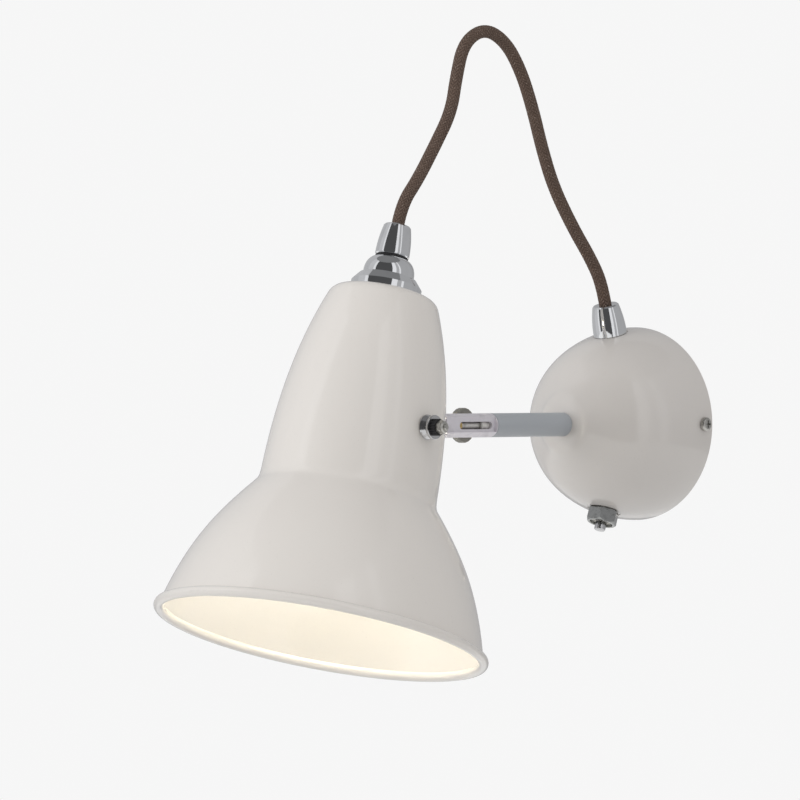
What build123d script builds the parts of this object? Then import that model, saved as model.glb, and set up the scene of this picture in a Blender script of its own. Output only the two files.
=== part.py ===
from build123d import *
from math import cos, pi, radians, tan
import os

# Wall lamp with a tilting, swivelling shade, in millimetres.
# Origin: centre of the wall box's back face. +Y goes into the wall, +Z is up.

# Wall box
box_radius = 45.0
box_depth = 55.0
box_wall = 1.5
box_flat_radius = 7.0  # flat at the front where the arm seats
box_seat_sink = 0.9  # flats cut into the curved skin under the grip and the bezel
# shares of depth and radius
box_shape = [(0.0, 1.0), (0.445, 0.9), (0.765, 0.65), (0.93, 0.37)]

# Wall plate
plate_thickness = 2.5
plate_gap = 0.4
fixing_spacing = 60.0
fixing_slot_width = 4.6
fixing_slot_length = 10.0  # end to end
cable_entry_radius = 8.0
cable_entry_z = -14.0
tab_width = 9.0
tab_depth = 9.5
tab_thickness = 5.0
tab_gap = 1.0  # to the inside of the box
cover_screw_offset = 5.7  # from the wall
cover_screw_radius = 2.0
cover_screw_head_radius = 3.2
cover_screw_head_height = 2.0
cover_screw_head_round = 1.2
cover_screw_length = 8.0
cross_depth = 1.0  # recess in the screw's head
cross_width = 0.8
cross_length = 3.6

# Terminal block and earth screw
terminal_width = 27.0
terminal_height = 10.0
terminal_depth = 12.0
terminal_centre_z = 19.0
terminal_ways = 3
terminal_hole_radius = 1.6
terminal_screw_radius = 1.5
terminal_screw_sink = 0.5
terminal_screw_slot = (2.4, 1.0, 0.6)
earth_screw_x = 20.0
earth_screw_z = -16.0
earth_screw_radius = 2.0
earth_head_radius = 3.6
earth_head_height = 2.4
earth_screw_slot = (5.2, 1.8, 0.9)

# Arm
arm_radius = 5.5
arm_wall = 1.5
arm_end = 109.2  # from the wall
stud_length = 30.0
stud_projection = 11.0  # inside the box
arm_washer_radius = 8.0
arm_washer_thickness = 1.5
arm_nut_wall = 2.5  # at the middle of a flat
arm_nut_height = 5.0

# Swivel head on the end of the arm
head_length = 35.8
head_front_flat = 3.7  # +X face from the arm's axis
head_rear_flat = 4.8
head_ledge = 3.0  # the front flat ends this far below the axis
head_collar = 0.8
head_spigot = 12.0
window_start = 2.7  # from the arm's end
window_end = 26.3
window_height = 3.4
bore_past_window = 0.3
swivel_bore = 2.75
swivel_radius = 2.0
swivel_bush_length = 3.4
swivel_thin_radius = 1.5
swivel_nut_radius = 2.4
swivel_nut_length = 7.0
swivel_washer_length = 1.0
swivel_nut_gap = 0.8  # from the clamp knob's stem
swivel_tip = 1.5  # thread past the nut
thrust_collar_radius = 4.2
thrust_collar_length = 3.0
shank_radius = 3.0

# Clamp knob on the far side of the swivel head
knob_radius = 8.0
knob_thickness = 3.3
knob_from_arm_end = 11.6
knob_stem_radius = 1.5
knob_ribs = 24
knob_rib_radius = 0.45

# Fork inside the shade
pivot_from_wall = 202.5
fork_radius = 35.5  # outer
fork_thickness = 1.5
fork_width = 10.0
rivet_radius = 4.0
rivet_thickness = 1.4

# Pivot stacks: washers and a nut on each side, and a bush on the near one (+X)
bolt_radius = 1.5
bolt_head_radius = 2.8
bolt_head_height = 2.0
bolt_tip = 0.9
spacer_radius = 3.0
cup_washer_radius = 5.7
cup_washer_thickness = 2.2
disc_radius = 4.6
disc_thickness = 0.7
ring_washer_radius = 5.5
ring_washer_thickness = 1.3
bush_radius = 3.8
bush_length = 2.4
bush_ribs = 18
bush_rib_radius = 0.35
lock_nut_flats = 5.5
lock_nut_height = 3.4
lock_nut_collar = 1.2

# Shade, heights from its mouth along its own axis
shade_height = 159.2
shade_wall = 1.2
shade_tilt = 16.5  # top leans to the wall
pivot_height = 96.6
mouth_radius = 73.8
bead_radius = 2.3
bell = [(mouth_radius, 0.0), (68.4, 18.3), (60.2, 36.7), (48.2, 55.0), (41.9, 63.0)]
neck = [(40.1, 70.0), (39.0, 91.7), (35.3, 119.3), (28.2, 146.8), (25.4, 154.6)]
shoulder_inner_radius = 17.5
tilt_up = 26.0  # travel that turns the mouth outward
tilt_down = 29.0
slot_clearance = 1.0
slot_top_share = 0.82  # the shade is narrower above its pivot

# Gallery above the shade
collar_radius = 16.1
collar_lip = 3.6
collar_top_radius = 13.0
collar_height = 7.4
cap_radius = 11.6
cap_height = 8.6
cap_top_radius = 7.9
seal_radius = 7.5
seal_height = 1.2
nipple_radius = 5.0
nipple_bore = 3.5

# Cord grips, one on the shade and one on the wall box
grip_base_radius = 7.8
grip_belly_radius = 7.5
grip_top_radius = 6.2
grip_length = 14.6
grip_bore = 2.2
box_grip_offset = 19.3  # from the wall, along the box's curve
box_grip_lean = 15.6
box_grip_nut_wall = 1.0  # at the middle of a flat
box_grip_nut_height = 3.0
box_nipple_length = 8.0
box_nut_drop = 0.9  # below the skin's inner face

# Push switch under the wall box
switch_offset = 24.1
switch_lean = 21.0
switch_neck_radius = 5.0
switch_body_radius = 7.0
switch_body_length = 18.0
switch_body_drop = 1.6  # below the skin's inner face
switch_tag = (0.8, 3.0, 5.0)
switch_tag_offset = 3.0
button_well = 9.0
bezel_flats = 13.0
bezel_height = 6.8
bezel_recess = 1.2
button_radius = 2.6
button_projection = 3.6
button_travel = 2.5
button_round = 0.9

# Lampholder and bulb
holder_radius = 18.0
holder_height = 41.2
holder_ring_radius = 17.0
holder_ring_thickness = 1.6
socket_radius = 13.9
socket_depth = 30.0
nipple_engagement = 6.0
contact_radius = 4.5
contact_thickness = 1.0
bulb_cap_radius = 13.1
bulb_cap_height = 24.0
bulb_cap_wall = 0.6
cap_tip_radius = 4.0
cap_tip_height = 2.0
bulb_radius = 27.5
bulb_length = 98.2  # from its tip to the contact
bulb_wall = 1.0
bulb_neck_height = 8.0  # inside the cap

# Flex: points of its route in the lamp's middle plane, as (out, up) from the grip
# that it leaves
flex_radius = 2.9
flex_exit_run = 10.0
wall_route = [(10.5, 20.7), (25.0, 36.2), (39.0, 54.2), (47.5, 71.7)]
shade_route = [
    (-98.2, 55.0), (-89.7, 72.0), (-78.2, 85.3), (-62.7, 91.1), (-47.5, 83.9),
    (-42.1, 68.0), (-38.5, 52.3), (-26.2, 36.0), (-14.7, 21.5),
]
flex_bend_share = 0.45

# Clearances
running_fit = 0.05
free_gap = 0.3
seat_gap = 0.02
screw_gap = 0.1
spotface_gap = 0.4

os.makedirs("parts", exist_ok=True)


def save(name, *solids):
    shape = solids[0] if len(solids) == 1 else Compound(children=list(solids))
    export_step(shape, f"parts/{name}.step")


def rod(radius, start, end, axis="Z"):
    """Round bar between two places on an axis through the origin."""
    length = abs(end - start)
    low = min(start, end)
    bar = Pos(0, 0, low) * Cylinder(radius, length, align=(Align.CENTER, Align.CENTER, Align.MIN))
    turns = {"Z": (0, 0, 0), "Y": (-90, 0, 0), "X": (0, 90, 0)}
    return Rot(*turns[axis]) * bar


def tube(outer, inner, start, end, axis="Z"):
    return rod(outer, start, end, axis) - rod(inner, start, end, axis)


def hexagon(flats, start, end, chamfered=0.6):
    """Hexagonal prism along Z with its corners turned off."""
    radius = flats / 2 / cos(radians(30))
    prism = Pos(0, 0, start) * extrude(RegularPolygon(radius, 6), end - start)
    blank = Pos(0, 0, start) * Cylinder(
        radius, end - start, align=(Align.CENTER, Align.CENTER, Align.MIN)
    )
    return prism & chamfer(blank.edges().filter_by(GeomType.CIRCLE), chamfered)


def turned(points):
    """Solid of revolution about Z from (radius, height) corners."""
    with BuildPart() as part:
        with BuildSketch(Plane.XZ):
            with BuildLine():
                Polyline(*[(r, h) for r, h in points], close=True)
            make_face()
        revolve(axis=Axis.Z)
    return part.part


def inset(points, wall):
    """Points of a (radius, height) curve moved inward, square to the curve."""
    moved = []
    for i, (r, h) in enumerate(points):
        before = points[max(i - 1, 0)]
        after = points[min(i + 1, len(points) - 1)]
        along = Vector(after[0] - before[0], after[1] - before[1]).normalized()
        moved.append((r - wall * along.Y, h + wall * along.X))
    return moved


def both_sides(solid):
    return [solid, mirror(solid, Plane.YZ)]


# ---------------------------------------------------------------- wall box


def box_solid(radius, depth, flat):
    """Dome turned about the Y axis, with its back on the wall plane."""
    curve = [(share_r * radius, -share_d * depth) for share_d, share_r in box_shape]
    with BuildPart() as part:
        with BuildSketch(Plane.XY):
            with BuildLine():
                side = Spline(*curve, (flat, -depth), tangents=[(0, -1), (-1, 0)])
                Line(side @ 1, (0, -depth))
                Line((0, -depth), (0, 0))
                Line((0, 0), side @ 0)
            make_face()
        revolve(axis=Axis.Y)
    return part.part


def box_radius_at(offset):
    """Outer radius of the box this far from the wall."""
    outer = box_solid(box_radius, box_depth, box_flat_radius)
    cut = outer & Pos(0, -offset, 0) * Box(200, 0.01, 200)
    return cut.bounding_box().max.X


def box_place(offset, lean, upward):
    """Frame on the box's skin above or below the arm, +Z pointing out of the box."""
    height = box_radius_at(offset)
    if upward:
        return Location((0, -offset, height), (lean, 0, 0))
    return Location((0, -offset, -height), (180 - lean, 0, 0))


grip_place = box_place(box_grip_offset, box_grip_lean, True)
switch_place = box_place(switch_offset, switch_lean, False)
bezel_corner_radius = bezel_flats / 2 / cos(radians(30))
side_hole_x = box_radius_at(cover_screw_offset)
screw_seat = box_radius_at(cover_screw_offset - cover_screw_head_radius) + seat_gap

cover = box_solid(box_radius, box_depth, box_flat_radius)
cover -= box_solid(box_radius - box_wall, box_depth - box_wall, box_flat_radius + box_wall)
cover -= rod(arm_radius - arm_wall + screw_gap, -box_depth - 1, 0, "Y")
cover -= grip_place * rod(nipple_radius + screw_gap, -10, 5)
cover -= grip_place * rod(grip_base_radius + spotface_gap, -box_seat_sink, 6)
cover -= switch_place * rod(switch_neck_radius + screw_gap, -10, 5)
cover -= switch_place * rod(bezel_corner_radius + spotface_gap, -box_seat_sink, 6)
cover -= Pos(0, -cover_screw_offset, 0) * rod(
    cover_screw_radius + screw_gap, -box_radius - 5, box_radius + 5, "X"
)
save("wall_box_cover", cover)

# The plate holds two tabs that take the cover screws.
plate_radius = box_radius - box_wall - plate_gap
plate = rod(plate_radius, -plate_thickness, 0, "Y")
tab_outer = side_hole_x - box_wall - tab_gap
tab = Pos(tab_outer - tab_thickness / 2, -tab_depth / 2, 0) * Box(
    tab_thickness, tab_depth, tab_width
)
plate += both_sides(tab)
plate -= Pos(0, 0, cable_entry_z) * rod(cable_entry_radius, -plate_thickness - 1, 1, "Y")
fixing_slot = Rot(90, 0, 0) * extrude(
    SlotOverall(fixing_slot_length, fixing_slot_width, rotation=90),
    plate_thickness + 1,
    both=True,
)
plate -= [Pos(0, 0, side * fixing_spacing / 2) * fixing_slot for side in (1, -1)]
plate -= Pos(0, -cover_screw_offset, 0) * rod(
    cover_screw_radius, -box_radius, box_radius, "X"
)
plate -= Pos(earth_screw_x, 0, earth_screw_z) * rod(
    earth_screw_radius, -plate_thickness - 1, 1, "Y"
)
save("wall_plate", plate)

head = rod(cover_screw_head_radius, screw_seat, screw_seat + cover_screw_head_height, "X")
head = fillet(head.edges().sort_by(Axis.X)[-1], cover_screw_head_round)
cross = Pos(screw_seat + cover_screw_head_height, 0, 0) * (
    Box(2 * cross_depth, cross_width, cross_length)
    + Box(2 * cross_depth, cross_length, cross_width)
)
screw = head + rod(cover_screw_radius, screw_seat - cover_screw_length, screw_seat, "X")
screw -= cross
screw = Pos(0, -cover_screw_offset, 0) * screw
save("cover_screws", *both_sides(screw))

# Terminal block with its wire holes and clamping screws
block_back = -plate_thickness
block = Pos(0, block_back - terminal_depth / 2, terminal_centre_z) * Box(
    terminal_width, terminal_depth, terminal_height
)
way_pitch = terminal_width / terminal_ways
way_places = [(i - (terminal_ways - 1) / 2) * way_pitch for i in range(terminal_ways)]
clamp_screws = []
screw_top = block_back - terminal_depth
for x in way_places:
    block -= Pos(x, block_back - terminal_depth / 2, 0) * rod(
        terminal_hole_radius, terminal_centre_z - terminal_height,
        terminal_centre_z + terminal_height
    )
    screw_hole = rod(terminal_screw_radius, screw_top, screw_top + terminal_depth / 2, "Y")
    block -= Pos(x, 0, terminal_centre_z) * screw_hole
    clamp_top = screw_top + terminal_screw_sink
    clamp = rod(terminal_screw_radius, clamp_top, screw_top + terminal_depth / 2 - 1, "Y")
    clamp -= Pos(0, clamp_top, 0) * Box(*terminal_screw_slot)
    clamp_screws.append(Pos(x, 0, terminal_centre_z) * clamp)
save("terminal_block", block)
save("terminal_screws", *clamp_screws)

earth = rod(earth_head_radius, -plate_thickness - earth_head_height, -plate_thickness, "Y")
earth += rod(earth_screw_radius, -plate_thickness, -free_gap, "Y")
earth -= Pos(0, -plate_thickness - earth_head_height, 0) * Box(*earth_screw_slot)
save("earth_screw", Pos(earth_screw_x, 0, earth_screw_z) * earth)

# ---------------------------------------------------------------- arm

arm_bore = arm_radius - arm_wall
save("arm_tube", tube(arm_radius, arm_bore, -arm_end, -box_depth, "Y"))

stud_inner = -(box_depth - stud_projection)
stud_outer = stud_inner - stud_length
save("arm_stud", rod(arm_bore, stud_outer, stud_inner, "Y"))

washer_face = -(box_depth - box_wall)
nut_face = washer_face + arm_washer_thickness
save("arm_washer", tube(arm_washer_radius, arm_bore + screw_gap, washer_face, nut_face, "Y"))
arm_nut_flats = 2 * (arm_bore + arm_nut_wall)
arm_nut = hexagon(arm_nut_flats, 0, arm_nut_height) - rod(arm_bore, -1, arm_nut_height + 1)
save("arm_nut", Pos(0, nut_face, 0) * Rot(-90, 0, 0) * arm_nut)

# ---------------------------------------------------------------- swivel head

head_end = arm_end + head_length
window_inner = arm_end + window_start
window_outer = arm_end + window_end
bar = rod(arm_radius, -head_end, -arm_end, "Y")
bar = chamfer(bar.edges().filter_by(GeomType.CIRCLE), 0.4)
flat_length = head_length - head_collar
flat_centre = -(arm_end + head_collar + flat_length / 2)
flat_height = 2 * arm_radius + head_ledge
bar -= Pos(head_front_flat + arm_radius / 2, flat_centre, flat_height / 2 - head_ledge) * Box(
    arm_radius, flat_length, flat_height
)
bar -= Pos(-head_rear_flat - arm_radius / 2, flat_centre, 0) * Box(
    arm_radius, flat_length, 4 * arm_radius
)
bar += rod(arm_bore, -arm_end, -arm_end + head_spigot, "Y")
bush_front = -(window_outer + bore_past_window)
bar -= rod(swivel_bore, bush_front, -arm_end + head_spigot, "Y")
bar -= rod(swivel_radius + running_fit, -head_end, bush_front, "Y")
window_length = window_end - window_start
window = extrude(SlotOverall(window_length, window_height), arm_radius)
window = Pos(0, -(window_inner + window_outer) / 2, 0) * Rot(0, 90, 0) * Rot(0, 0, 90) * window
bar -= window
knob_y = -(arm_end + knob_from_arm_end)
bar -= Pos(0, knob_y, 0) * rod(knob_stem_radius + running_fit, -arm_radius, 0, "X")
save("swivel_head", bar)

save(
    "swivel_bush",
    tube(swivel_bore, swivel_radius + running_fit, bush_front, bush_front + swivel_bush_length, "Y"),
)

# The shank turns in the head; its thin end carries a washer and a round nut.
pivot_y = -pivot_from_wall
fork_back = pivot_y + fork_radius
thin_start = bush_front + swivel_bush_length + free_gap
nut_start = knob_y + knob_stem_radius + swivel_nut_gap
thin_end = nut_start + swivel_washer_length + swivel_nut_length + swivel_tip
thrust_face = -(head_end + free_gap)
shank = rod(swivel_radius, thrust_face, thin_start, "Y")
shank += rod(swivel_thin_radius, thin_start, thin_end, "Y")
collar = rod(thrust_collar_radius, thrust_face - thrust_collar_length, thrust_face, "Y")
shank += chamfer(collar.edges().filter_by(GeomType.CIRCLE), 0.4)
shank += rod(shank_radius, fork_back, thrust_face - thrust_collar_length, "Y")
shank += rod(swivel_radius, fork_back - fork_thickness, fork_back, "Y")
rivet_face = fork_back - fork_thickness
shank += rod(rivet_radius, rivet_face - rivet_thickness, rivet_face, "Y")
save("swivel_shank", shank)

washer_end = nut_start + swivel_washer_length
save("swivel_washer", tube(swivel_nut_radius, swivel_thin_radius, nut_start, washer_end, "Y"))
save(
    "swivel_nut",
    tube(swivel_nut_radius, swivel_thin_radius, washer_end, washer_end + swivel_nut_length, "Y"),
)

# Clamp knob: ribbed disc with a stem that presses on the shank
knob_face = -head_rear_flat - free_gap
knob = rod(knob_radius, knob_face - knob_thickness, knob_face, "X")
knob = chamfer(knob.edges().filter_by(GeomType.CIRCLE), 0.5)
for turn in range(knob_ribs):
    groove = Pos(0, 0, knob_radius + knob_rib_radius / 3) * rod(
        knob_rib_radius, knob_face - knob_thickness - 1, knob_face + 1, "X"
    )
    knob -= Rot(turn * 360 / knob_ribs, 0, 0) * groove
knob += rod(knob_stem_radius, knob_face, -swivel_thin_radius - free_gap, "X")
save("clamp_knob", Pos(0, knob_y, 0) * knob)

# ---------------------------------------------------------------- fork

fork_inner = fork_radius - fork_thickness
fork_eye = fork_width / 2
ring = tube(fork_radius, fork_inner, -fork_width / 2, fork_width / 2)
ring &= Pos(0, fork_radius, 0) * Box(3 * fork_radius, 2 * fork_radius, 2 * fork_width)
eye = rod(fork_eye, fork_inner, fork_radius, "X")
fork = ring + both_sides(eye)
fork -= rod(bolt_head_radius + screw_gap, -fork_inner, fork_inner, "X")
fork -= rod(bolt_radius + running_fit, -fork_radius - 1, fork_radius + 1, "X")
fork -= rod(swivel_radius, 0, fork_radius + 1, "Y")
fork -= rod(rivet_radius + screw_gap, 0, fork_inner, "Y")
save("fork", Pos(0, pivot_y, 0) * fork)

# ---------------------------------------------------------------- shade

shade_place = Location((0, pivot_y, 0), (-shade_tilt, 0, 0)) * Pos(0, 0, -pivot_height)


def shade_solid(wall):
    """Closed solid up to the shade's skin, moved inward by wall."""
    outline = inset(bell + neck, wall)
    low, high = outline[: len(bell)], outline[len(bell):]
    low[0] = (mouth_radius - wall, 0.0)
    top = shade_height - wall
    with BuildPart() as part:
        with BuildSketch(Plane.XZ):
            with BuildLine():
                skirt = Spline(*low)
                upper = Spline(*high)
                Spline(skirt @ 1, upper @ 0, tangents=[skirt % 1, upper % 0])
                shoulder = Spline(
                    upper @ 1, (shoulder_inner_radius, top), tangents=[upper % 1, (-1, 0)]
                )
                Line(shoulder @ 1, (0, top))
                Line((0, top), (0, 0))
                Line((0, 0), skirt @ 0)
            make_face()
        revolve(axis=Axis.Z)
    return part.part


def shade_radius_at(height, wall=0.0):
    cut = shade_solid(wall) & Pos(0, 0, height) * Box(400, 400, 0.01)
    return cut.bounding_box().max.X


wall_at_pivot = shade_radius_at(pivot_height)
slot_top = pivot_height + slot_top_share * wall_at_pivot * tan(radians(shade_tilt + tilt_up))
slot_bottom = pivot_height + wall_at_pivot * tan(radians(shade_tilt - tilt_down))
slot_half = shank_radius + slot_clearance
slot_low = slot_bottom - slot_half / cos(radians(tilt_down - shade_tilt))
slot_high = slot_top + slot_half / cos(radians(shade_tilt + tilt_up))
arm_slot = extrude(SlotOverall(slot_high - slot_low, 2 * slot_half, rotation=90), 2 * mouth_radius)
arm_slot = Pos(0, 0, (slot_low + slot_high) / 2) * Rot(-90, 0, 0) * arm_slot

shade = shade_solid(0.0) - shade_solid(shade_wall)
shade += Torus(mouth_radius, bead_radius)
shade -= arm_slot
shade -= rod(nipple_radius + screw_gap, shade_height - 5, shade_height + 1)
shade -= Pos(0, 0, pivot_height) * rod(
    bolt_radius + running_fit, -mouth_radius, mouth_radius, "X"
)
save("shade", shade_place * shade)

# Pivot stacks: the cup washers turn with the shade, the rest with the fork. Only the
# near side has a ribbed bush.
cup_seat = shade_radius_at(pivot_height - cup_washer_radius) + seat_gap
cup_face = cup_seat + cup_washer_thickness
disc_seat = cup_face + free_gap
ring_seat = disc_seat + disc_thickness
ring_face = ring_seat + ring_washer_thickness
bush_face = ring_face + bush_length
nut_end = bush_face + lock_nut_height
far_nut_end = nut_end - bush_length
inner_wall = shade_radius_at(pivot_height + spacer_radius, shade_wall)
bolt_hole = bolt_radius + running_fit

cup = Rot(0, 90, 0) * turned([
    (bolt_hole, cup_seat), (cup_washer_radius, cup_seat),
    (cup_washer_radius - 0.3, cup_seat + 0.7), (cup_washer_radius - 1.4, cup_face),
    (bolt_hole, cup_face),
])
cups = [Pos(0, pivot_y, 0) * solid for solid in both_sides(cup)]
save("cup_washers", *cups)

disc = tube(disc_radius, bolt_radius, disc_seat, ring_seat, "X")
save("friction_discs", *[Pos(0, pivot_y, 0) * solid for solid in both_sides(disc)])

ring_washer = tube(ring_washer_radius, bolt_radius, ring_seat, ring_face, "X")
ring_washer = chamfer(ring_washer.edges().filter_by(GeomType.CIRCLE), 0.2)
save("ring_washers", *[Pos(0, pivot_y, 0) * solid for solid in both_sides(ring_washer)])

bush = tube(bush_radius, bolt_radius, ring_face, bush_face, "X")
for turn in range(bush_ribs):
    groove = Pos(0, 0, bush_radius) * rod(bush_rib_radius, ring_face, bush_face, "X")
    bush -= Rot(turn * 360 / bush_ribs, 0, 0) * groove
save("friction_bush", Pos(0, pivot_y, 0) * bush)

lock_nut_shoulder = nut_end - lock_nut_collar
lock_nut_collar_radius = lock_nut_flats / 2 - 0.1
lock_nut = hexagon(lock_nut_flats, bush_face, lock_nut_shoulder, 0.3)
lock_nut += turned([
    (0, lock_nut_shoulder), (lock_nut_collar_radius, lock_nut_shoulder),
    (lock_nut_collar_radius, nut_end - 0.5), (lock_nut_collar_radius - 0.6, nut_end),
    (0, nut_end),
])
lock_nut -= rod(bolt_radius, bush_face - 1, nut_end + 1)
lock_nut = Rot(0, 90, 0) * lock_nut
near_nut, far_nut = both_sides(lock_nut)
far_nut = Pos(bush_length, 0, 0) * far_nut
save("lock_nuts", *[Pos(0, pivot_y, 0) * solid for solid in (near_nut, far_nut)])

head_seat = fork_inner


def pivot_bolt(end):
    """Bolt along +X with its head against the fork."""
    stem = rod(bolt_radius, head_seat, end, "X")
    stem = chamfer(stem.edges().filter_by(GeomType.CIRCLE).sort_by(Axis.X)[-1], 0.4)
    knob_end = rod(bolt_head_radius, head_seat - bolt_head_height, head_seat, "X")
    knob_end = fillet(knob_end.edges().filter_by(GeomType.CIRCLE).sort_by(Axis.X)[0], 0.8)
    return stem + knob_end


near_bolt = pivot_bolt(nut_end + bolt_tip)
far_bolt = mirror(pivot_bolt(far_nut_end + bolt_tip), Plane.YZ)
save("pivot_bolts", *[Pos(0, pivot_y, 0) * solid for solid in (near_bolt, far_bolt)])

spacer = tube(spacer_radius, bolt_radius, fork_radius, inner_wall - free_gap, "X")
save("pivot_spacers", *[Pos(0, pivot_y, 0) * solid for solid in both_sides(spacer)])

# ---------------------------------------------------------------- gallery

collar_top = shade_height + collar_height
cap_base = collar_top
cap_top = cap_base + cap_height
seal_top = cap_top + seal_height
grip_top = seal_top + grip_length

gallery_collar = turned([
    (nipple_radius, shade_height), (collar_radius - 0.3, shade_height),
    (collar_radius, shade_height + 0.4), (collar_radius, shade_height + collar_lip),
    (collar_top_radius + 0.4, collar_top - 0.5), (collar_top_radius, collar_top),
    (nipple_radius, collar_top),
])
save("gallery_collar", shade_place * gallery_collar)

with BuildPart() as cap_part:
    with BuildSketch(Plane.XZ):
        with BuildLine():
            flank = Line((cap_radius, cap_base), (cap_radius, cap_base + 1.2))
            crown = Spline(
                flank @ 1, (cap_top_radius, cap_top), tangents=[(0, 1), (-0.9, 0.45)]
            )
            Line(crown @ 1, (nipple_radius, cap_top))
            Line((nipple_radius, cap_top), (nipple_radius, cap_base))
            Line((nipple_radius, cap_base), flank @ 0)
        make_face()
    revolve(axis=Axis.Z)
save("gallery_cap", shade_place * cap_part.part)

seal = tube(seal_radius, nipple_radius, cap_top, seal_top)
seal = chamfer(seal.edges().filter_by(GeomType.CIRCLE).group_by(SortBy.LENGTH)[-1], 0.35)
save("grip_seal", shade_place * seal)


def cord_grip(base):
    """Barrel-shaped grip standing on base, with a threaded foot below it."""
    top = base + grip_length
    with BuildPart() as part:
        with BuildSketch(Plane.XZ):
            with BuildLine():
                foot = Line((grip_bore, base), (grip_base_radius - 0.5, base))
                rim = Line(foot @ 1, (grip_base_radius, base + 0.5))
                belly = Spline(
                    rim @ 1, (grip_belly_radius, base + grip_length * 0.45),
                    (grip_top_radius, top - 0.6),
                )
                edge = Line(belly @ 1, (grip_top_radius - 0.6, top))
                Line(edge @ 1, (grip_bore, top))
                Line((grip_bore, top), foot @ 0)
            make_face()
        revolve(axis=Axis.Z)
    return part.part


shade_grip = cord_grip(seal_top)
save("shade_cord_grip", shade_place * shade_grip)

holder_top = shade_height - shade_wall - holder_ring_thickness
nipple = tube(nipple_radius, nipple_bore, holder_top - nipple_engagement, seal_top)
save("holder_nipple", shade_place * nipple)

save(
    "holder_ring",
    shade_place
    * tube(holder_ring_radius, nipple_radius, holder_top, shade_height - shade_wall),
)

# ---------------------------------------------------------------- lampholder and bulb

holder_base = holder_top - holder_height
holder = rod(holder_radius, holder_base, holder_top)
holder = fillet(holder.edges().filter_by(GeomType.CIRCLE).sort_by(Axis.Z)[-1], 3.0)
holder -= rod(socket_radius, holder_base - 1, holder_base + socket_depth)
holder -= rod(nipple_radius, holder_top - nipple_engagement, holder_top + 1)
holder -= rod(nipple_bore, holder_base, holder_top)
save("lampholder", shade_place * holder)

socket_top = holder_base + socket_depth
contact = rod(contact_radius, socket_top - contact_thickness, socket_top)
save("centre_contact", shade_place * contact)

cap_tip = socket_top - contact_thickness
shell_top = cap_tip - cap_tip_height
shell_base = shell_top - bulb_cap_height
bulb_cap = tube(bulb_cap_radius, bulb_cap_radius - bulb_cap_wall, shell_base, shell_top)
bulb_cap += turned([
    (0, cap_tip), (cap_tip_radius, cap_tip), (bulb_cap_radius - 1.0, shell_top),
    (bulb_cap_radius, shell_top), (bulb_cap_radius, shell_top - bulb_cap_wall),
    (0, shell_top - bulb_cap_wall),
])
save("bulb_cap", shade_place * bulb_cap)


bulb_neck_radius = bulb_cap_radius - bulb_cap_wall - free_gap
neck_top = shell_base + bulb_neck_height


def bulb_envelope(wall):
    """Pear-shaped glass moved inward by wall, open at its neck."""
    widest = cap_tip - bulb_length + bulb_radius
    neck_radius = bulb_neck_radius - wall
    with BuildPart() as part:
        with BuildSketch(Plane.XZ):
            with BuildLine():
                globe = CenterArc((0, widest), bulb_radius - wall, -90, 110)
                flare = Spline(
                    globe @ 1, (neck_radius + 0.2, shell_base), (neck_radius, neck_top),
                    tangents=[globe % 1, (0, 1)],
                )
                Line(flare @ 1, (0, neck_top))
                Line((0, neck_top), globe @ 0)
            make_face()
        revolve(axis=Axis.Z)
    return part.part


glass = bulb_envelope(0.0) - bulb_envelope(bulb_wall)
glass -= rod(bulb_neck_radius - bulb_wall, neck_top - 2.0, neck_top + 1.0)
save("bulb_glass", shade_place * glass)

# ---------------------------------------------------------------- grip and switch on the box

grip_seat = -box_seat_sink
box_grip = cord_grip(grip_seat)
save("box_cord_grip", grip_place * box_grip)
box_nipple = tube(nipple_radius, nipple_bore, grip_seat - box_nipple_length, grip_seat)
save("box_grip_nipple", grip_place * box_nipple)
nut_top = grip_seat - box_wall - box_nut_drop
grip_nut_flats = 2 * (nipple_radius + box_grip_nut_wall)
grip_nut = hexagon(grip_nut_flats, nut_top - box_grip_nut_height, nut_top, 0.5)
grip_nut -= rod(nipple_radius, nut_top - box_grip_nut_height - 1, nut_top + 1)
save("box_grip_nut", grip_place * grip_nut)

bezel_seat = -box_seat_sink
bezel_top = bezel_seat + bezel_height
bezel = hexagon(bezel_flats, bezel_seat, bezel_top, 1.0)
bezel -= rod(switch_neck_radius, bezel_seat - 1, bezel_top - bezel_recess)
bezel -= rod(switch_neck_radius + 0.4, bezel_top - bezel_recess, bezel_top + 1)
save("switch_bezel_nut", switch_place * bezel)

body_top = bezel_seat - box_wall - switch_body_drop
body_foot = body_top - switch_body_length
mouth_height = bezel_top - bezel_recess
well_floor = mouth_height - button_well
switch = rod(switch_body_radius, body_foot, body_top)
switch += rod(switch_neck_radius, body_top, mouth_height)
switch -= rod(button_radius + free_gap, well_floor, mouth_height + 1)
tag = Pos(switch_tag_offset, 0, body_foot - switch_tag[2] / 2) * Box(*switch_tag)
switch += both_sides(tag)
save("switch_body", switch_place * switch)

button_top = bezel_top + button_projection
button_foot = well_floor + button_travel + 1.0
button = rod(button_radius, button_foot, button_top)
button = fillet(button.edges().filter_by(GeomType.CIRCLE).sort_by(Axis.Z)[-1], button_round)
save("switch_button", switch_place * button)

# ---------------------------------------------------------------- flex

box_exit = (grip_place * Pos(0, 0, grip_seat + grip_length)).position
shade_exit = (shade_place * Pos(0, 0, grip_top)).position
box_way = (grip_place * Pos(0, 0, grip_seat + grip_length + flex_exit_run)).position
shade_way = (shade_place * Pos(0, 0, grip_top + flex_exit_run)).position
wall_points = [box_exit, box_way] + [box_exit + Vector(0, -out, up) for out, up in wall_route]
shade_points = [shade_exit + Vector(0, -out, up) for out, up in shade_route]
shade_points += [shade_way, shade_exit]
flex_join = (wall_points[-1] + shade_points[0]) / 2


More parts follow.
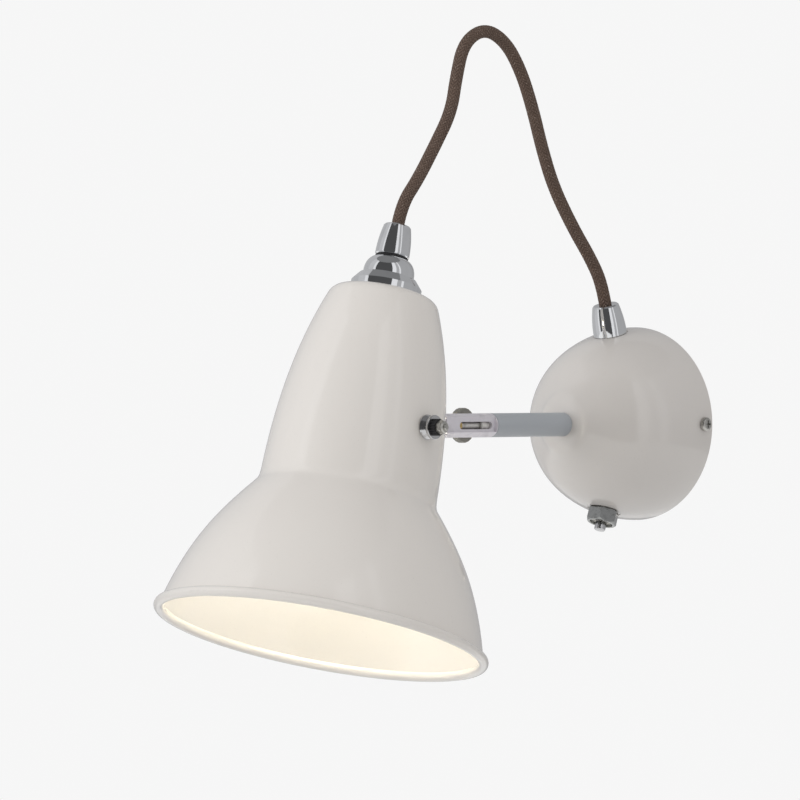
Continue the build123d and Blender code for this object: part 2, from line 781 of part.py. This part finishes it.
def flex_tube(points):
    """Round cord along runs joined by the largest arcs that they allow."""
    radii = []
    for before, here, after in zip(points, points[1:], points[2:]):
        turn = (here - before).get_angle(after - here)
        shorter = min((here - before).length, (after - here).length)
        radii.append(flex_bend_share * shorter / tan(radians(turn / 2)))
    path = FilletPolyline(*points, radius=radii)
    start = Plane(points[0], z_dir=points[1] - points[0])
    cord = sweep(start * Circle(flex_radius), path)
    expected = pi * flex_radius**2 * path.length
    print("flex radii", [round(r, 1) for r in radii], "length", round(path.length, 1))
    print("flex volume share of its section times its length", round(cord.volume / expected, 4))
    return cord


save("flex_wall_run", flex_tube(wall_points + [flex_join]))
save("flex_shade_run", flex_tube([flex_join] + shade_points))
print("exits", box_exit, shade_exit, "join", flex_join)
print("slot", round(slot_low, 1), round(slot_high, 1), "wall at pivot", round(wall_at_pivot, 2))
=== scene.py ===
import math
import bpy
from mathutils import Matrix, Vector


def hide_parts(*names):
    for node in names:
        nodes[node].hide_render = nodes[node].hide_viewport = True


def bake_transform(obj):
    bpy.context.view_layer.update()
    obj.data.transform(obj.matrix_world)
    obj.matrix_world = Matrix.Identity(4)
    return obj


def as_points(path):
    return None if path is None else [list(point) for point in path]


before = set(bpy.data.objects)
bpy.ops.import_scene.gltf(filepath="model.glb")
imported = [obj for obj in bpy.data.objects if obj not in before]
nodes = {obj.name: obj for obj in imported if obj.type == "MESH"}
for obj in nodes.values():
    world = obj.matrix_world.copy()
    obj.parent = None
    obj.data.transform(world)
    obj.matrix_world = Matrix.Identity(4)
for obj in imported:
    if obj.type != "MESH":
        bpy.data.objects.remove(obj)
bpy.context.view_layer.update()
scene = bpy.context.scene
print("frame loaded:", len(nodes), "nodes")

# Camera where the photograph's outline puts it: far off with a long lens.
cameraPlace = {
    "azimuth": 39.2,
    "elevation": 0.35,
    "distance": 4.0,
    "lens": 392.8,
    "sensorWidth": 36,
    "nearest": 0.1,
    "farthest": 60,
    "target": (0.0, -0.1, 0.02),
    "aimRight": -0.0468,  # the middle of the picture, counted from the target
    "aimUp": -0.0085,
}


def directionTo(azimuth, elevation):
    # Azimuth 0 stands in front of the lamp, and grows to the right.
    turn, tip = math.radians(azimuth), math.radians(elevation)
    return Vector(
        (math.sin(turn) * math.cos(tip), -math.cos(turn) * math.cos(tip), math.sin(tip))
    )


def lookBack(thing, direction):
    thing.rotation_mode = "QUATERNION"
    thing.rotation_quaternion = (-direction).to_track_quat("-Z", "Y")


def placeCamera(place):
    toCamera = directionTo(place["azimuth"], place["elevation"])
    right = directionTo(place["azimuth"] + 90, 0)
    up = toCamera.cross(right)
    aim = Vector(place["target"]) + right * place["aimRight"] + up * place["aimUp"]
    data = bpy.data.cameras.new("photoCamera")
    data.lens, data.sensor_width = place["lens"], place["sensorWidth"]
    data.clip_start, data.clip_end = place["nearest"], place["farthest"]
    camera = bpy.data.objects.new("photoCamera", data)
    camera.location = aim + toCamera * place["distance"]
    lookBack(camera, toCamera)
    scene.collection.objects.link(camera)
    scene.camera = camera


placeCamera(cameraPlace)
print("camera placed")


class Wire:
    # An output socket that adds Math nodes when an expression uses it.
    def __init__(self, graph, socket):
        self.graph, self.socket = graph, socket

    def maths(self, operation, *values):
        return self.graph.add(
            "ShaderNodeMath", {"operation": operation}, dict(enumerate(values))
        )

    def __add__(self, other):
        return self.maths("ADD", self, other)

    def __radd__(self, other):
        return self.maths("ADD", other, self)

    def __sub__(self, other):
        return self.maths("SUBTRACT", self, other)

    def __rsub__(self, other):
        return self.maths("SUBTRACT", other, self)

    def __mul__(self, other):
        return self.maths("MULTIPLY", self, other)

    def __rmul__(self, other):
        return self.maths("MULTIPLY", other, self)

    def __truediv__(self, other):
        return self.maths("DIVIDE", self, other)

    def __rtruediv__(self, other):
        return self.maths("DIVIDE", other, self)

    def __lt__(self, other):
        return self.maths("LESS_THAN", self, other)

    def __gt__(self, other):
        return self.maths("GREATER_THAN", self, other)

    def floor(self):
        return self.maths("FLOOR", self)

    def fraction(self):
        return self.maths("FRACT", self)

    def sine(self):
        return self.maths("SINE", self)

    def most(self, other):
        return self.maths("MAXIMUM", self, other)

    def between(self, low, high):
        return self.graph.add(
            "ShaderNodeMapRange",
            {"interpolation_type": "SMOOTHSTEP"},
            {"Value": self, "From Min": low, "From Max": high},
        )


class Graph:
    # Adds nodes to one shader, world or geometry tree.
    def __init__(self, tree):
        self.tree = tree

    def feed(self, socket, value):
        if isinstance(value, Wire):
            self.tree.links.new(value.socket, socket)
        else:
            socket.default_value = value

    def add(self, kind, settings=None, inputs=None, output=0):
        node = self.tree.nodes.new(kind)
        for name, value in (settings or {}).items():
            setattr(node, name, value)
        for name, value in (inputs or {}).items():
            self.feed(node.inputs[name], value)
        return Wire(self, node.outputs[output]) if node.outputs else None

    def noise(self, place, scale, detail):
        return self.add(
            "ShaderNodeTexNoise", None, {"Vector": place, "Scale": scale, "Detail": detail}
        )

    def stretched(self, place, factors):
        return self.add("ShaderNodeMapping", None, {"Vector": place, "Scale": factors})

    def mixColour(self, factor, first, second):
        # The Mix node's sockets for colours are 6 and 7, and 2 comes out.
        ends = {0: factor, 6: first, 7: second}
        return self.add("ShaderNodeMix", {"data_type": "RGBA"}, ends, 2)

    def bump(self, height, distance, strength):
        return self.add(
            "ShaderNodeBump", None,
            {"Height": height, "Distance": distance, "Strength": strength},
        )


def tint(colour, factor):
    return (colour[0] * factor, colour[1] * factor, colour[2] * factor, 1.0)


def emptyGraph(owner):
    owner.use_nodes = True
    owner.node_tree.nodes.clear()
    return Graph(owner.node_tree)


def newMaterial(name, surface):
    # surface(graph) gives the wire of the finished shader.
    material = bpy.data.materials.new(name)
    graph = emptyGraph(material)
    graph.add("ShaderNodeOutputMaterial", None, {"Surface": surface(graph)})
    return material


def principled(name, build):
    # build(graph, place) gives the Principled sockets' values and wires.
    def surface(graph):
        place = graph.add("ShaderNodeTexCoord", output="Object")
        return graph.add("ShaderNodeBsdfPrincipled", None, build(graph, place))
    return newMaterial(name, surface)


# What all painted pieces share.
sprayed = {
    "speckEdges": (0.70, 0.78),  # the noise at which a speck of dust begins and is full
    "speckTone": 0.7,
    "speckShare": 0.25,
    "speckRough": 0.1,
    "cloudRough": 0.06,
    "peelStrength": 0.35,
    "coatRoughness": 0.08,
}


def paint(name, look):
    # Sprayed gloss: fine orange peel, faint clouds in the colour, specks of dust.
    def build(graph, place):
        clouds = graph.noise(place, look["cloudScale"], detail=3)
        specks = graph.noise(place, look["speckScale"], detail=1)
        specks = specks.between(*sprayed["speckEdges"])
        peel = graph.noise(place, look["peelScale"], detail=2)
        pale, dusty = tint(look["colour"], 1.0), tint(look["colour"], sprayed["speckTone"])
        toned = graph.mixColour(clouds, tint(look["colour"], 1 - look["cloudDepth"]), pale)
        rough = look["roughness"] + clouds * sprayed["cloudRough"]
        return {
            "Base Color": graph.mixColour(specks * sprayed["speckShare"], toned, dusty),
            "Roughness": rough + specks * sprayed["speckRough"],
            "Normal": graph.bump(peel, look["peelDepth"], sprayed["peelStrength"]),
            "Coat Weight": look["coat"],
            "Coat Roughness": sprayed["coatRoughness"],
        }
    return principled(name, build)


# What all metal pieces share.
handled = {
    "stainEdges": (0.45, 0.75),  # the noise at which a finger mark begins and is full
    "grainStrength": 0.5,
}


def metal(name, look):
    # Turned, brushed or plated metal with finger marks and a fine grain.
    def build(graph, place):
        marks = graph.noise(place, look["markScale"], detail=3)
        grain = graph.noise(graph.stretched(place, look["grain"]), 1.0, detail=2)
        stain = marks.between(*handled["stainEdges"])
        smear = look["smear"]
        return {
            "Base Color": graph.mixColour(
                stain, tint(look["colour"], 1.0), tint(look["colour"], look["stained"])
            ),
            "Metallic": look["metallic"],
            "Roughness": look["roughness"] + stain * smear + (grain - 0.5) * smear,
            "Normal": graph.bump(grain, look["grainDepth"], handled["grainStrength"]),
        }
    return principled(name, build)


# What all moulded pieces share.
moulded = {"darkTone": 0.86, "paleTone": 1.05, "mottleRough": 0.15, "textureStrength": 0.6}


def plastic(name, look):
    # Moulded plastic or rubber: fine texture, slight mottling.
    def build(graph, place):
        mottle = graph.noise(place, look["mottleScale"], detail=3)
        texture = graph.noise(place, look["textureScale"], detail=2)
        dark = tint(look["colour"], moulded["darkTone"])
        pale = tint(look["colour"], moulded["paleTone"])
        return {
            "Base Color": graph.mixColour(mottle, dark, pale),
            "Roughness": look["roughness"] + (mottle - 0.5) * moulded["mottleRough"],
            "Normal": graph.bump(texture, look["textureDepth"], moulded["textureStrength"]),
        }
    return principled(name, build)


def litGlass(name, look):
    # Opal bulb glass that glows all over, with faint clouds in the white.
    def build(graph, place):
        milk = graph.noise(place, look["milkScale"], detail=2)
        return {
            "Base Color": graph.mixColour(
                milk, tint(look["colour"], look["cloudTone"]), tint(look["colour"], 1.0)
            ),
            "Roughness": look["roughness"] + milk * look["milkRough"],
            "Emission Color": graph.mixColour(
                milk, tint(look["glow"], look["glowTone"]), tint(look["glow"], 1.0)
            ),
            "Emission Strength": look["strength"],
        }
    return principled(name, build)


# Fabric flex: a braid of carriers laid two over, two under.
flex = {
    "radius": 0.0029,
    "carriers": 12,  # strands each way round the cord
    "rise": 0.0018,  # along the cord, from one crossing to the next
    "relief": 0.00016,
    "sunk": 0.7,  # how much of the relief lies inside the radius
    "around": 72,  # corners round the cord
    "step": 0.0005,  # between two rings of corners
    "bendDirection": (0, -0.5, -0.866),  # down the limb
    "yarns": 3,  # yarns side by side in a strand
    "brown": (0.118, 0.08, 0.062),
    "hollowShadeTone": 0.22,  # painted shade, of the brown between the strands
    "ridgeHighlightTone": 2.0,  # painted highlight, of the brown on top of them
    "wornScale": 90,
    "wornTone": 1.6,
    "wornShare": 0.35,
    "glintColour": (0.34, 0.27, 0.23),
    "glintScale": 1900,
    "glintEdges": (0.60, 0.66),  # the noise at which a painted highlight glint begins and is full
    "glintShare": 0.8,
    "roughness": 0.78,
    "specular": 0.2,
    "fuzzScale": 5200,
    "fuzzRough": 0.2,
    "ridgeHeight": 0.6,  # shares of the weave's depth
    "yarnHeight": 0.3,
    "fuzzHeight": 0.3,
    "weaveDepth": 0.00018,
    "weaveStrength": 0.8,
    "wallPoints": [
        (0, -0.02298, 0.05544), (0, -0.02567, 0.06507), (0, -0.03348, 0.07614),
        (0, -0.04798, 0.09164), (0, -0.06198, 0.10964), (0, -0.07048, 0.12714),
        (0, -0.07399, 0.13633),
    ],
    "shadePoints": [
        (0, -0.07399, 0.13633), (0, -0.0775, 0.1455), (0, -0.086, 0.1625), (0, -0.0975, 0.1758),
        (0, -0.113, 0.1816), (0, -0.1282, 0.1744), (0, -0.1336, 0.1585), (0, -0.1372, 0.1428),
        (0, -0.1495, 0.1265), (0, -0.161, 0.112), (0, -0.17285, 0.1001), (0, -0.17569, 0.09051),
    ],
}


def braid(around, along, look):
    # Two over, two under: each strand is a ridge, and shows where it lies on top. The
    # fraction is 0, 1/4, 1/2 or 3/4, and the first strand is on top at 0 and 1/4.
    first = around * look["carriers"] + along / look["rise"]
    second = around * look["carriers"] - along / look["rise"]
    onTop = ((first.floor() + second.floor()) / 4).fraction() < 0.49
    acrossFirst, acrossSecond = first.fraction(), second.fraction()
    across = onTop * acrossFirst + (1 - onTop) * acrossSecond
    ridge = 4 * across * (1 - across)
    return ridge, across


def pathCurve(name, points):
    data = bpy.data.curves.new(name, "CURVE")
    data.dimensions = "3D"
    spline = data.splines.new("NURBS")
    spline.points.add(len(points) - 1)
    for place, point in zip(spline.points, points):
        place.co = (*point, 1)
    spline.order_u = 3
    spline.use_endpoint_u = True
    spline.resolution_u = 32
    curve = bpy.data.objects.new(name, data)
    scene.collection.objects.link(curve)
    return curve


def plainMesh(thing):
    graph = bpy.context.evaluated_depsgraph_get()
    return bpy.data.meshes.new_from_object(thing.evaluated_get(graph), depsgraph=graph)


def braidTree(look):
    tree = bpy.data.node_groups.new("braidedCord", "GeometryNodeTree")
    face = tree.interface
    kinds = {
        "Geometry": "Geometry", "Radius": "Float", "Relief": "Float", "Step": "Float",
        "Around": "Int", "Start": "Float", "Finish": "Material",
    }
    for name, kind in kinds.items():
        face.new_socket(name, in_out="INPUT", socket_type="NodeSocket" + kind)
    face.new_socket("Geometry", in_out="OUTPUT", socket_type="NodeSocketGeometry")
    graph = Graph(tree)
    asked = {name: graph.add("NodeGroupInput", output=name) for name in kinds}

    def store(shape, name, value, kind="FLOAT", domain="POINT"):
        return graph.add(
            "GeometryNodeStoreNamedAttribute", {"data_type": kind, "domain": domain},
            {"Geometry": shape, "Name": name, "Value": value},
        )

    def stored(name):
        return graph.add(
            "GeometryNodeInputNamedAttribute", {"data_type": "FLOAT"}, {"Name": name}
        )

    line = graph.add(
        "GeometryNodeResampleCurve", {"mode": "LENGTH"},
        {"Curve": asked["Geometry"], "Length": asked["Step"]},
    )
    run = graph.add("GeometryNodeSplineParameter", output="Length") + asked["Start"]
    line = store(line, "along", run)
    ring = graph.add(
        "GeometryNodeCurvePrimitiveCircle", None,
        {"Resolution": asked["Around"], "Radius": asked["Radius"]},
    )
    turn = graph.add("GeometryNodeSplineParameter", output="Factor")
    ring = store(ring, "around", turn)
    body = graph.add(
        "GeometryNodeCurveToMesh", None,
        {"Curve": line, "Profile Curve": ring, "Fill Caps": True},
    )
    around, along = stored("around"), stored("along")
    ridge = braid(around, along, look)[0]
    lift = graph.add(
        "ShaderNodeVectorMath", {"operation": "SCALE"},
        {
            0: graph.add("GeometryNodeInputNormal"),
            "Scale": (ridge - look["sunk"]) * asked["Relief"],
        },
    )
    body = graph.add("GeometryNodeSetPosition", None, {"Geometry": body, "Offset": lift})
    # The last strip of faces runs from nearly 1 back to 0, so its zero corners become 1.
    middle = graph.add(
        "GeometryNodeFieldOnDomain", {"data_type": "FLOAT", "domain": "FACE"}, {"Value": around}
    )
    isZero, inLastStrip = around < 0.001, middle > 0.25
    unrolled = around + isZero * inLastStrip
    pair = graph.add("ShaderNodeCombineXYZ", None, {"X": unrolled, "Y": along})
    body = store(body, "flexUv", pair, "FLOAT2", "CORNER")
    body = graph.add("GeometryNodeSetShadeSmooth", None, {"Geometry": body})
    body = graph.add("GeometryNodeRealizeInstances", None, {"Geometry": body})
    body = graph.add(
        "GeometryNodeSetMaterial", None, {"Geometry": body, "Material": asked["Finish"]}
    )
    graph.add("NodeGroupOutput", None, {"Geometry": body})
    return tree


def flexCloth(name, look):
    # Dull yarn on the braid's own chart, with painted shade in its hollows, a painted highlight
    # on its ridges and yarns, and pale flecks on the ridges that are painted highlight glints.
    def build(graph, place):
        chart = graph.add("ShaderNodeUVMap", {"uv_map": "flexUv"})
        around = graph.add("ShaderNodeSeparateXYZ", None, {0: chart}, "X")
        along = graph.add("ShaderNodeSeparateXYZ", None, {0: chart}, "Y")
        ridge, across = braid(around, along, look)
        yarns = (across * (look["yarns"] * 2 * math.pi)).sine() * 0.5 + 0.5
        fuzz = graph.noise(place, look["fuzzScale"], detail=2)
        # Pale glints on the ridges only: painted highlights on the yarn.
        glint = graph.noise(place, look["glintScale"], detail=2)
        glint = glint.between(*look["glintEdges"]) * ridge
        worn = graph.noise(place, look["wornScale"], detail=2)
        # Painted shade in the hollows between the strands, and a painted highlight along each
        # strand's top and across each yarn.
        paintedHollowShade, top = (tint(look["brown"], look[k]) for k in ("hollowShadeTone", "ridgeHighlightTone"))
        shadeAndHighlight = graph.mixColour(ridge * yarns, paintedHollowShade, top)
        faded = tint(look["brown"], look["wornTone"])
        toned = graph.mixColour(worn * look["wornShare"], shadeAndHighlight, faded)
        pale = tint(look["glintColour"], 1.0)
        height = ridge * look["ridgeHeight"] + yarns * look["yarnHeight"]
        height = height + fuzz * look["fuzzHeight"]
        return {
            "Base Color": graph.mixColour(glint * look["glintShare"], toned, pale),
            "Roughness": look["roughness"] + (fuzz - 0.5) * look["fuzzRough"],
            "Normal": graph.bump(height, look["weaveDepth"], look["weaveStrength"]),
            "Specular IOR Level": look["specular"],
        }
    return principled(name, build)


flexFinish = flexCloth("flexCloth", flex)
flexTree = braidTree(flex)


def buildFlex(name, points, start):
    route = pathCurve(name + "_route", points)
    line = [tuple(v.co) for v in plainMesh(route).vertices]
    modifier = route.modifiers.new("braid", "NODES")
    modifier.node_group = flexTree
    wanted = {
        "Radius": flex["radius"], "Relief": flex["relief"], "Step": flex["step"],
        "Around": flex["around"], "Start": start, "Finish": flexFinish,
    }
    for item in flexTree.interface.items_tree:
        if item.in_out == "INPUT" and item.name in wanted:
            modifier[item.identifier] = wanted[item.name]
    mesh = plainMesh(route)
    mesh.name = name
    route.modifiers.remove(modifier)
    cord = bpy.data.objects.new(name, mesh)
    scene.collection.objects.link(cord)
    bpy.data.objects.remove(route)
    length = sum(math.dist(a, b) for a, b in zip(line, line[1:]))
    print(name, "length", round(length * 1000, 1), "faces", len(mesh.polygons))
    return cord, line, length


wallFlex, wallLine, wallLength = buildFlex("flexWallRun", flex["wallPoints"], 0.0)
shadeFlex, shadeLine, shadeLength = buildFlex("flexShadeRun", flex["shadePoints"], wallLength)
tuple(flex["wallPoints"][0])
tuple(flex["wallPoints"][-1])
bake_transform(wallFlex)
join = Vector(flex["shadePoints"][0])
limb = Vector(flex["bendDirection"])
reach = (Vector(flex["shadePoints"][-1]) - join).dot(limb)
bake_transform(shadeFlex)
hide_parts("flex_wall_run")
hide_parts("flex_shade_run")
for cord, line, length, leaves in (
    (wallFlex, wallLine, wallLength, flex["wallPoints"][0]),
    (shadeFlex, shadeLine, shadeLength, flex["shadePoints"][-1]),
):
    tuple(leaves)
    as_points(line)
print("flex made")

# Colours are as the photograph shows them under plain light.
# The wall box takes the shade's white paint made darker: painted shade, for the lesser light
# that falls on the box.
shadedBoxPaint = {
    "colour": (0.655, 0.618, 0.588), "roughness": 0.36, "coat": 1.0, "cloudScale": 26,
    "cloudDepth": 0.03, "speckScale": 1400, "peelScale": 700, "peelDepth": 0.00003,
}
whitePaint = {
    "colour": (0.778, 0.734, 0.692), "roughness": 0.36, "coat": 1.0, "cloudScale": 22,
    "cloudDepth": 0.025, "speckScale": 1400, "peelScale": 700, "peelDepth": 0.00003,
}
armCoat = {
    "colour": (0.40, 0.421, 0.449), "roughness": 0.4, "coat": 0.1, "cloudScale": 60,
    "cloudDepth": 0.05, "speckScale": 2600, "peelScale": 1600, "peelDepth": 0.00002,
}
chromePlate = {
    "colour": (0.80, 0.81, 0.82), "stained": 0.93, "metallic": 1.0, "roughness": 0.045,
    "smear": 0.05, "markScale": 160, "grain": (900, 900, 120), "grainDepth": 0.000002,
}
satinNickel = {
    "colour": (0.60, 0.60, 0.605), "stained": 0.86, "metallic": 1.0, "roughness": 0.17,
    "smear": 0.08, "markScale": 260, "grain": (1200, 1200, 300), "grainDepth": 0.000004,
}
wornNickel = {
    "colour": (0.33, 0.335, 0.33), "stained": 0.6, "metallic": 1.0, "roughness": 0.12,
    "smear": 0.2, "markScale": 420, "grain": (700, 700, 2600), "grainDepth": 0.00006,
}
# Paler and less metallic than the zinc plate, so that the shank and nut, in the shade inside
# the head's window, read light: painted light.
litBrushedSteel = {
    "colour": (0.80, 0.78, 0.74), "stained": 0.7, "metallic": 0.5, "roughness": 0.3,
    "smear": 0.15, "markScale": 500, "grain": (400, 2600, 2600), "grainDepth": 0.00002,
}
milledAlloy = {
    "colour": (0.73, 0.70, 0.745), "stained": 0.88, "metallic": 0.35, "roughness": 0.4,
    "smear": 0.1, "markScale": 220, "grain": (2500, 180, 2500), "grainDepth": 0.00002,
}
zincPlate = {
    "colour": (0.50, 0.49, 0.46), "stained": 0.78, "metallic": 0.9, "roughness": 0.28,
    "smear": 0.12, "markScale": 420, "grain": (2200, 2200, 400), "grainDepth": 0.00001,
}
knobSteel = {
    "colour": (0.30, 0.29, 0.26), "stained": 0.85, "metallic": 0.45, "roughness": 0.45,
    "smear": 0.1, "markScale": 300, "grain": (400, 2600, 2600), "grainDepth": 0.00001,
}
brassBare = {
    "colour": (0.62, 0.46, 0.20), "stained": 0.75, "metallic": 1.0, "roughness": 0.26,
    "smear": 0.12, "markScale": 350, "grain": (2000, 300, 2000), "grainDepth": 0.00001,
}
blackRubber = {
    "colour": (0.022, 0.021, 0.023), "roughness": 0.62, "mottleScale": 500,
    "textureScale": 3500, "textureDepth": 0.00003,
}
creamPlastic = {
    "colour": (0.72, 0.70, 0.63), "roughness": 0.42, "mottleScale": 120,
    "textureScale": 2200, "textureDepth": 0.00002,
}
opalGlass = {
    "colour": (0.92, 0.90, 0.86), "cloudTone": 0.94, "roughness": 0.18, "milkScale": 60,
    "milkRough": 0.08, "glow": (1.0, 0.995, 0.85), "glowTone": 0.96, "strength": 7.8,
}

finishes = {
    paint("whitePaint", whitePaint): ["shade"],
    paint("shadedBoxPaint", shadedBoxPaint): ["wall_box_cover"],
    paint("armCoat", armCoat): ["arm_tube"],
    metal("chromePlate", chromePlate): [
        "gallery_collar", "gallery_cap", "shade_cord_grip", "box_cord_grip",
    ],
    metal("satinNickel", satinNickel): ["cup_washers", "ring_washers", "switch_button"],
    metal("wornNickel", wornNickel): ["switch_bezel_nut"],
    metal("litBrushedSteel", litBrushedSteel): ["swivel_shank", "swivel_nut"],
    metal("milledAlloy", milledAlloy): ["swivel_head"],
    metal("zincPlate", zincPlate): [
        "cover_screws", "pivot_bolts", "lock_nuts", "swivel_washer", "pivot_spacers",
        "arm_stud", "arm_washer", "arm_nut", "earth_screw", "wall_plate", "fork",
        "terminal_screws",
    ],
    metal("knobSteel", knobSteel): ["clamp_knob"],
    metal("brassBare", brassBare): [
        "swivel_bush", "centre_contact", "holder_nipple", "box_grip_nipple", "box_grip_nut",
        "bulb_cap",
    ],
    plastic("blackRubber", blackRubber): ["friction_bush", "friction_discs", "grip_seal"],
    plastic("creamPlastic", creamPlastic): [
        "lampholder", "holder_ring", "switch_body", "terminal_block",
    ],
    litGlass("opalGlass", opalGlass): ["bulb_glass"],
}
for finish, names in finishes.items():
    for name in names:
        nodes[name].data.materials.clear()
        nodes[name].data.materials.append(finish)
print("finishes given to", sum(len(names) for names in finishes.values()), "nodes")

studio = {
    "backdrop": (0.925, 0.925, 0.925, 1.0),
    "ambient": (0.98, 0.985, 0.985, 1.0),
    "ambientStrength": 0.64,
    "lampAim": (0, -0.15, 0.03),  # what the softboxes look at
    "floorHeight": -0.33,
    "floorRadius": 2.2,
    "floorFade": (0.3, 0.95),  # shares of the radius at which it begins to fade and is gone
    "floorGrain": 30,
    "floorColour": (0.72, 0.72, 0.72),
    "floorTone": 0.98,  # of its darker grain
    "discSides": 72,  # of the floor and of the board on top
}
# name: azimuth, elevation, distance, width, height, watts, colour
softboxes = {
    "keyBox": (-24, 12, 2.6, 1.6, 1.9, 27.5, (0.97, 0.99, 1.0)),
    "sideBox": (84, 10, 2.6, 1.0, 1.8, 3.2, (1.0, 0.985, 0.95)),
    "topBox": (70, 64, 2.4, 1.6, 1.6, 6.5, (1.0, 1.0, 1.0)),
}
# Upright boards round the lamp, with one more on top, that only reflections show: the
# azimuths that each one spans and its grey. They put the bands in the chrome and the
# streaks in the paint.
boards = {
    "darkBoard": (-27, 58, 0.08),
    "rightBoard": (58, 76, 0.88),
    "dimBoard": (76, 90, 0.46),
    "stripBoard": (90, 98, 0.85),
    "edgeBoard": (98, 160, 0.42),
    "rearBoard": (160, 230, 0.40),
    "farBoard": (230, 290, 0.52),
    "leftBoard": (290, 320, 0.60),
    "windowBoard": (320, 333, 0.85),
}
boardRing = {
    "radius": 6.5,
    "bottom": -2.5,
    "top": 9.0,
    "panel": 4,  # degrees that one flat of a board spans at most
    "topGrey": 0.22,
    "coolness": 1.02,  # blue against the red and green of a board
}

for name, (azimuth, elevation, distance, width, height, watts, colour) in softboxes.items():
    data = bpy.data.lights.new(name, "AREA")
    data.shape, data.size, data.size_y = "RECTANGLE", width, height
    data.energy, data.color = watts, colour
    box = bpy.data.objects.new(name, data)
    toBox = directionTo(azimuth, elevation)
    box.location = Vector(studio["lampAim"]) + toBox * distance
    lookBack(box, toBox)
    box.visible_glossy = False
    scene.collection.objects.link(box)

# The camera, metal and glass see the pale backdrop, and all else the plain ambient light.
world = bpy.data.worlds.new("studio")
graph = emptyGraph(world)
seen = graph.add("ShaderNodeLightPath", output="Is Camera Ray")
seen = seen.most(graph.add("ShaderNodeLightPath", output="Is Glossy Ray"))
seen = seen.most(graph.add("ShaderNodeLightPath", output="Is Transmission Ray"))
glow = graph.add(
    "ShaderNodeBackground", None,
    {
        "Color": graph.mixColour(seen, studio["ambient"], studio["backdrop"]),
        "Strength": seen + (1 - seen) * studio["ambientStrength"],
    },
)
graph.add("ShaderNodeOutputWorld", None, {"Surface": glow})
scene.world = world


def boardMaterial(name, grey):
    def surface(graph):
        colour = (grey, grey, grey * boardRing["coolness"], 1.0)
        return graph.add("ShaderNodeEmission", None, {"Color": colour})
    return newMaterial(name, surface)


def ringPoint(azimuth, radius, height):
    across = directionTo(azimuth, 0) * radius
    return across.x, across.y, height


def disc(radius, height):
    sides = studio["discSides"]
    corners = [ringPoint(i * 360 / sides, radius, height) for i in range(sides)]
    return corners, [range(sides)]


def addPanel(name, corners, faces, material):
    mesh = bpy.data.meshes.new(name)
    mesh.from_pydata(corners, [], faces)
    mesh.materials.append(material)
    panel = bpy.data.objects.new(name, mesh)
    scene.collection.objects.link(panel)
    return panel


def addBoard(name, corners, faces, grey):
    board = addPanel(name, corners, faces, boardMaterial(name, grey))
    board.visible_camera = False
    board.visible_diffuse = False
    board.visible_transmission = False
    board.visible_shadow = False


for name, (first, last, grey) in boards.items():
    corners, faces = [], []
    steps = math.ceil((last - first) / boardRing["panel"])
    for i in range(steps + 1):
        turn = first + (last - first) * i / steps
        for height in (boardRing["bottom"], boardRing["top"]):
            corners.append(ringPoint(turn, boardRing["radius"], height))
    for i in range(steps):
        faces.append((2 * i, 2 * i + 2, 2 * i + 3, 2 * i + 1))
    addBoard(name, corners, faces, grey)
addBoard("ceilingBoard", *disc(boardRing["radius"], boardRing["top"]), boardRing["topGrey"])


def floorMaterial(radius):
    # Fades out towards its rim, so that the floor runs into the backdrop.
    def surface(graph):
        place = graph.add("ShaderNodeTexCoord", output="Object")
        out = graph.add("ShaderNodeVectorMath", {"operation": "LENGTH"}, {0: place}, "Value")
        fade = out.between(*(radius * share for share in studio["floorFade"]))
        grain = graph.noise(place, studio["floorGrain"], detail=3)
        dark, pale = (tint(studio["floorColour"], tone) for tone in (studio["floorTone"], 1.0))
        matt = graph.add(
            "ShaderNodeBsdfDiffuse", None, {"Color": graph.mixColour(grain, dark, pale)}
        )
        clear = graph.add("ShaderNodeBsdfTransparent")
        return graph.add("ShaderNodeMixShader", None, {0: fade, 1: matt, 2: clear})
    return newMaterial("paleFloor", surface)


rim = disc(studio["floorRadius"], studio["floorHeight"])
floor = addPanel("floor", *rim, floorMaterial(studio["floorRadius"]))
floor.visible_glossy = False
scene.view_settings.view_transform = "Standard"
print("studio lit")
